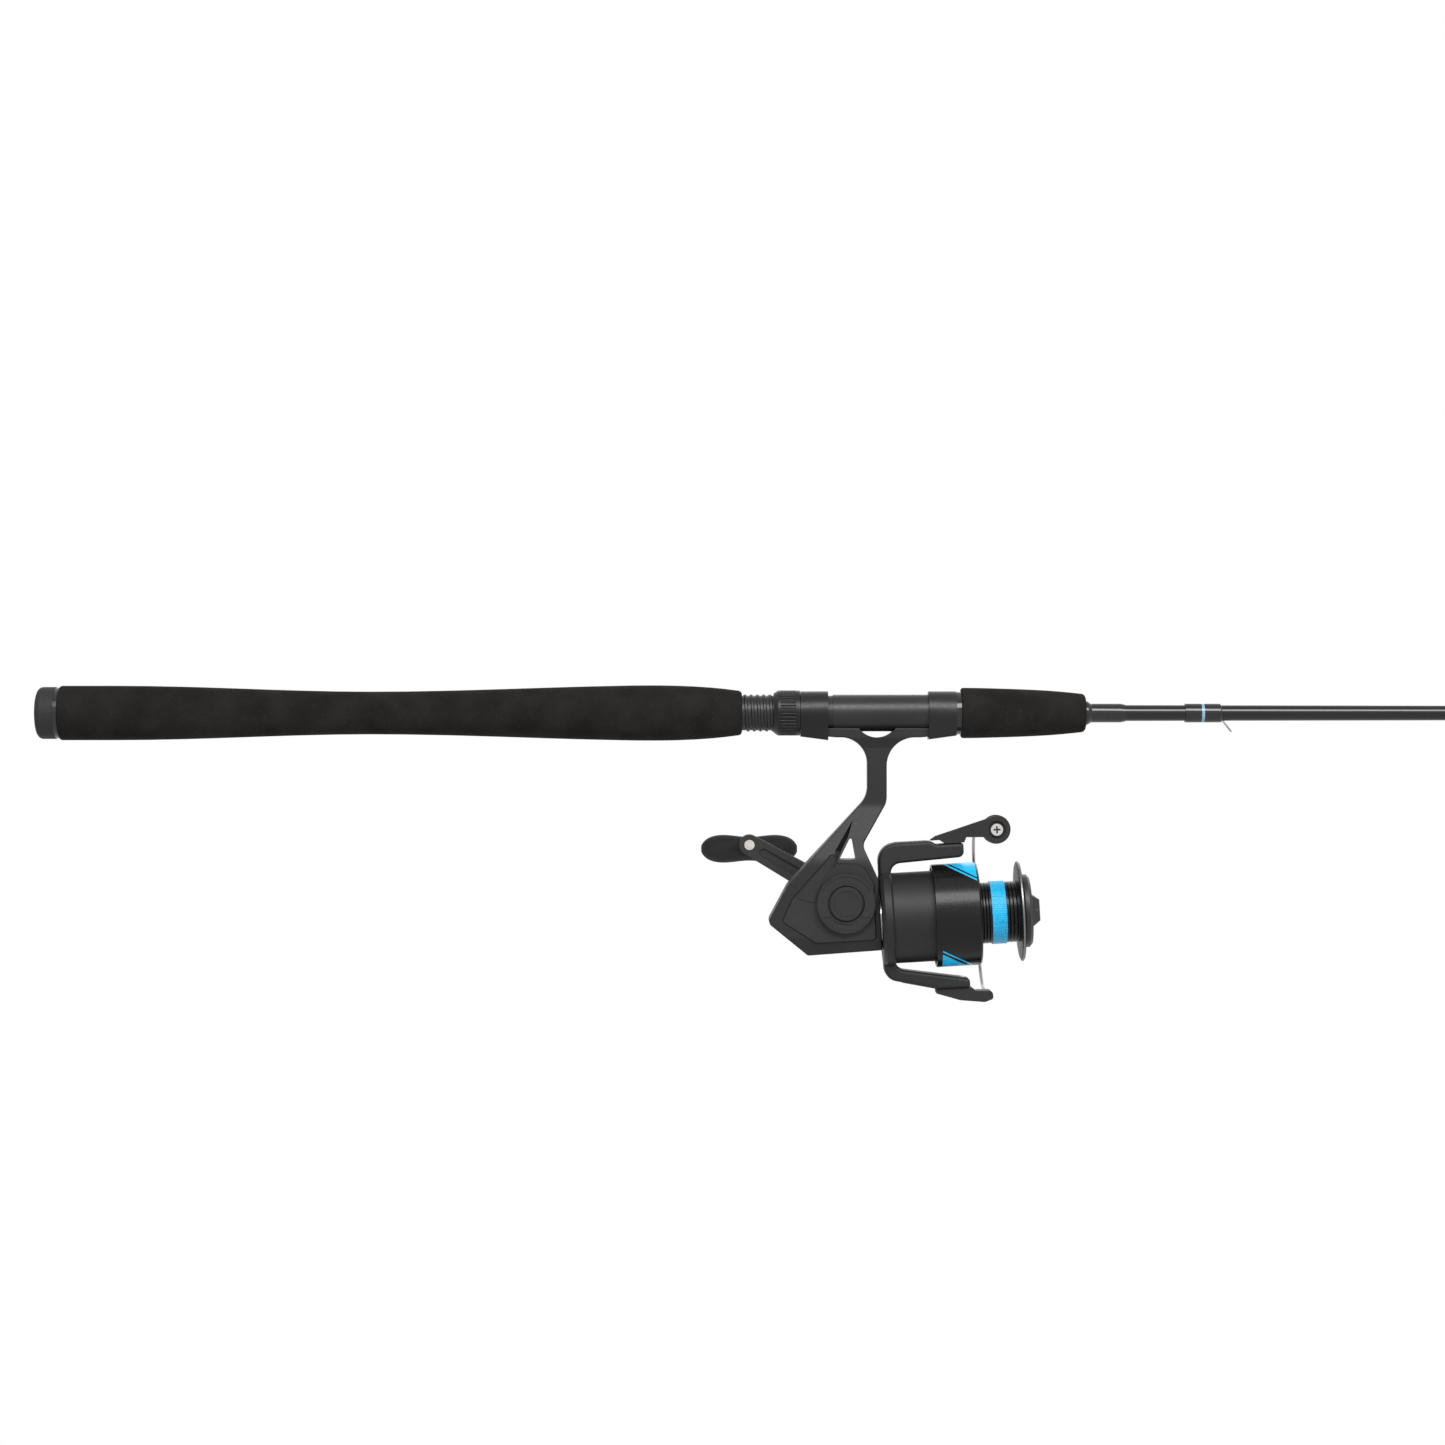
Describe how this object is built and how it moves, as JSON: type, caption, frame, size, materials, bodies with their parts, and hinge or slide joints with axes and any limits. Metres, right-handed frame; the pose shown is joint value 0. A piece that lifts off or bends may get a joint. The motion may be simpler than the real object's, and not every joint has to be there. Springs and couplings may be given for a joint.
{
  "type": "fishing rod and reel",
  "caption": "Spinning fishing rod in two sections with ring guides, a screw-locked reel seat and a spinning reel with crank handle, rotor, bail, spool and drag knob.",
  "frame": {"origin": "centre of the butt cap's end face, on the rod's axis", "axes": "+X along the rod to its tip, +Z away from the reel, which hangs below the rod, +Y to the crank handle's side"},
  "size_m": [2.134, 0.1069, 0.1578],
  "materials": {
    "eva_foam": "fine matte closed-cell foam",
    "butt_rubber": "matte moulded rubber",
    "trim_ring": "polished dark ring",
    "seat_plastic": "satin moulded nylon",
    "bushing": "cork-resin bushing",
    "blank_gloss": "clear-coated carbon blank",
    "wrap_gloss": "thread under clear coat",
    "guide_frame": "black-plated wire frame",
    "guide_ring": "polished black ceramic",
    "wire_steel": "bare stainless wire",
    "reel_shell": "charcoal satin moulding",
    "cover_shell": "charcoal satin moulding",
    "port_cap": "satin moulded cap",
    "screw_steel": "bare steel screw",
    "bearing_steel": "ground steel",
    "clutch_steel": "ground steel",
    "gear_zinc": "cast and machined",
    "pinion_brass": "machined brass",
    "shaft_steel": "ground steel",
    "rotor_shell": "charcoal satin moulding",
    "arm_cover": "charcoal satin moulding",
    "bail_paint": "charcoal satin moulding",
    "bail_wire": "polished grey steel wire",
    "roller": "polished black roller",
    "spool_gloss": "gloss black with light-blue triangles",
    "spool_lip": "anodised dark lip",
    "arbor_blue": "light-blue textured band",
    "drag_felt": "felt and metal washers",
    "drag_knob": "satin moulded knob",
    "handle_arm": "satin black",
    "handle_knob": "soft dark grey rubber"
  },
  "bodies": {
    "butt_section": {"butt_cap": "butt_rubber", "butt_trim_ring": "trim_ring", "rear_grip": "eva_foam", "reel_seat": "seat_plastic", "seat_bushings": "bushing", "hood_trim_ring": "trim_ring", "fore_grip": "eva_foam", "winding_check": "trim_ring", "butt_blank": "blank_gloss", "blank_wraps": "wrap_gloss", "hook_keeper": "wire_steel", "guide_1_frame": "guide_frame", "guide_1_ring": "guide_ring", "guide_1_wraps": "wrap_gloss", "reel_body": "reel_shell", "side_cover": "cover_shell", "cover_screws": "screw_steel", "handle_port_cap": "port_cap", "drive_bearings": "bearing_steel", "pinion_bearing": "bearing_steel", "one_way_clutch": "clutch_steel"},
    "hood": {"sliding_hood": "seat_plastic"},
    "nut": {"lock_nut": "seat_plastic"},
    "tip_section": {"tip_ferrule": "wrap_gloss", "tip_blank": "blank_gloss", "guide_2_frame": "guide_frame", "guide_3_frame": "guide_frame", "guide_4_frame": "guide_frame", "guide_5_frame": "guide_frame", "guide_6_frame": "guide_frame", "tip_guide_rings": "guide_ring", "tip_guide_wraps": "wrap_gloss", "tip_top": "guide_frame", "tip_top_ring": "guide_ring"},
    "crank": {"drive_gear": "gear_zinc", "crank_shaft": "shaft_steel", "handle_arm": "handle_arm", "knob_pin": "screw_steel"},
    "knob": {"handle_knob": "handle_knob"},
    "oscillation": {"oscillation_gear": "gear_zinc"},
    "rotor_body": {"rotor": "rotor_shell", "pinion_gear": "pinion_brass", "rotor_nut": "pinion_brass", "clutch_sleeve": "clutch_steel", "arm_covers": "arm_cover", "bail_spring": "wire_steel", "bail_pivot_screws": "screw_steel"},
    "bail": {"bail_lever": "bail_paint", "bail_arm": "bail_paint", "bail_wire": "bail_wire", "roller_screw": "screw_steel"},
    "roller": {"line_roller": "roller"},
    "shaft": {"main_shaft": "shaft_steel", "oscillation_slider": "gear_zinc"},
    "spool_body": {"spool": "spool_gloss", "spool_lip": "spool_lip", "arbor_band": "arbor_blue", "drag_washers": "drag_felt", "drag_retainer": "wire_steel"},
    "drag": {"drag_knob": "drag_knob"}
  },
  "joints": [
    {"name": "hood_slide", "type": "slide", "parent": "butt_section", "child": "hood", "axis": [1, 0, 0], "range_m": [-0.012, 0]},
    {"name": "nut_turn", "type": "hinge", "parent": "hood", "child": "nut", "pos_m": [0.374, 0, 0], "axis": [1, 0, 0], "range_deg": [-1400, 0]},
    {"name": "ferrule_slide", "type": "slide", "parent": "butt_section", "child": "tip_section", "axis": [1, 0, 0], "range_m": [0, 0.08]},
    {"name": "crank_turn", "type": "hinge", "parent": "butt_section", "child": "crank", "pos_m": [0.4036, 0, -0.0946], "axis": [0, 1, 0], "continuous": true},
    {"name": "knob_turn", "type": "hinge", "parent": "crank", "child": "knob", "pos_m": [0.35613, 0, -0.06763], "axis": [0, 1, 0], "continuous": true},
    {"name": "oscillation_turn", "type": "hinge", "parent": "butt_section", "child": "oscillation", "pos_m": [0.391, 0, -0.10069], "axis": [0, 1, 0], "continuous": true},
    {"name": "rotor_turn", "type": "hinge", "parent": "butt_section", "child": "rotor_body", "pos_m": [0.4215, 0, -0.1029], "axis": [0.9984, 0, 0.0558], "continuous": true},
    {"name": "bail_flip", "type": "hinge", "parent": "rotor_body", "child": "bail", "pos_m": [0.46044, 0, -0.10072], "axis": [-0.0558, 0, 0.9984], "range_deg": [-120, 0]},
    {"name": "roller_turn", "type": "hinge", "parent": "bail", "child": "roller", "pos_m": [0.47889, 0, -0.05813], "axis": [0, 1, 0], "continuous": true},
    {"name": "shaft_stroke", "type": "slide", "parent": "butt_section", "child": "shaft", "axis": [0.9984, 0, 0.0558], "range_m": [-0.0065, 0.0065]},
    {"name": "spool_turn", "type": "hinge", "parent": "shaft", "child": "spool_body", "pos_m": [0.48141, 0, -0.09955], "axis": [0.9984, 0, 0.0558], "continuous": true},
    {"name": "drag_turn", "type": "hinge", "parent": "shaft", "child": "drag", "pos_m": [0.49638, 0, -0.09871], "axis": [0.9984, 0, 0.0558], "range_deg": [-270, 270]}
  ],
  "couplings": [
    {"joint": "nut_turn", "follows": "hood_slide", "rad_per_m": 2026.8},
    {"joint": "oscillation_turn", "follows": "crank_turn", "ratio": -0.53846},
    {"joint": "rotor_turn", "follows": "crank_turn", "ratio": 6.1429}
  ]
}
